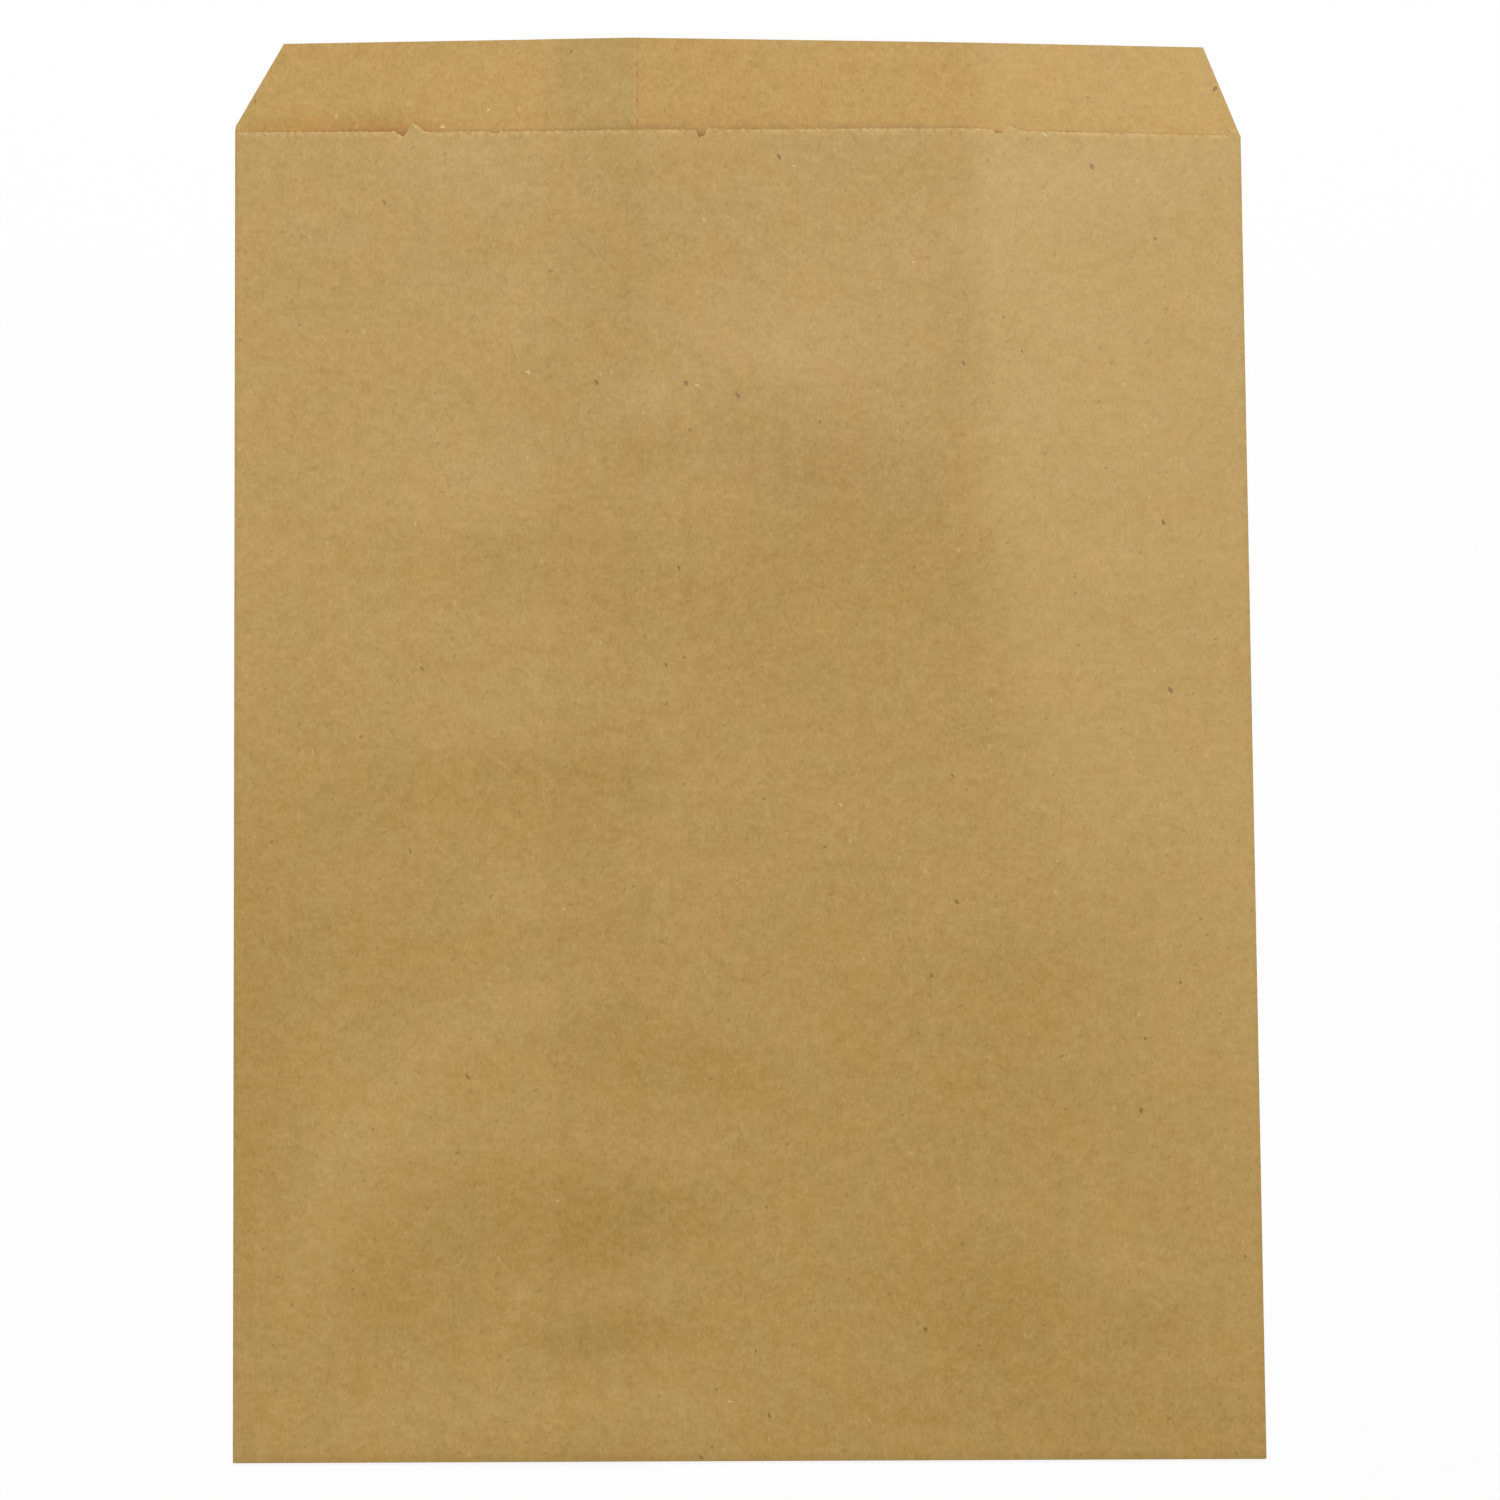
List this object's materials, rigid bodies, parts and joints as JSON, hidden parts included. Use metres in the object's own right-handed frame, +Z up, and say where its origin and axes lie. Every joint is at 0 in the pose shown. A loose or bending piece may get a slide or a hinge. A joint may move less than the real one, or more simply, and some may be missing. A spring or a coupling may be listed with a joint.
{
  "type": "paper lunch bag",
  "caption": "Flat brown kraft paper bag with a glued back seam, a glued bottom flap, a toothed mouth and a taller back lip with cut corners.",
  "frame": {"origin": "middle of the bag's footprint, on the surface that the back panel lies on", "axes": "+X across the bag to the right seen from the front, +Y from the bottom fold to the mouth and lip, +Z up out of the front panel"},
  "size_m": [0.216, 0.3056, 0.0025],
  "materials": {
    "kraft_paper": "matt unbleached kraft"
  },
  "bodies": {
    "root": {"paper_bag": "kraft_paper"}
  },
  "joints": []
}
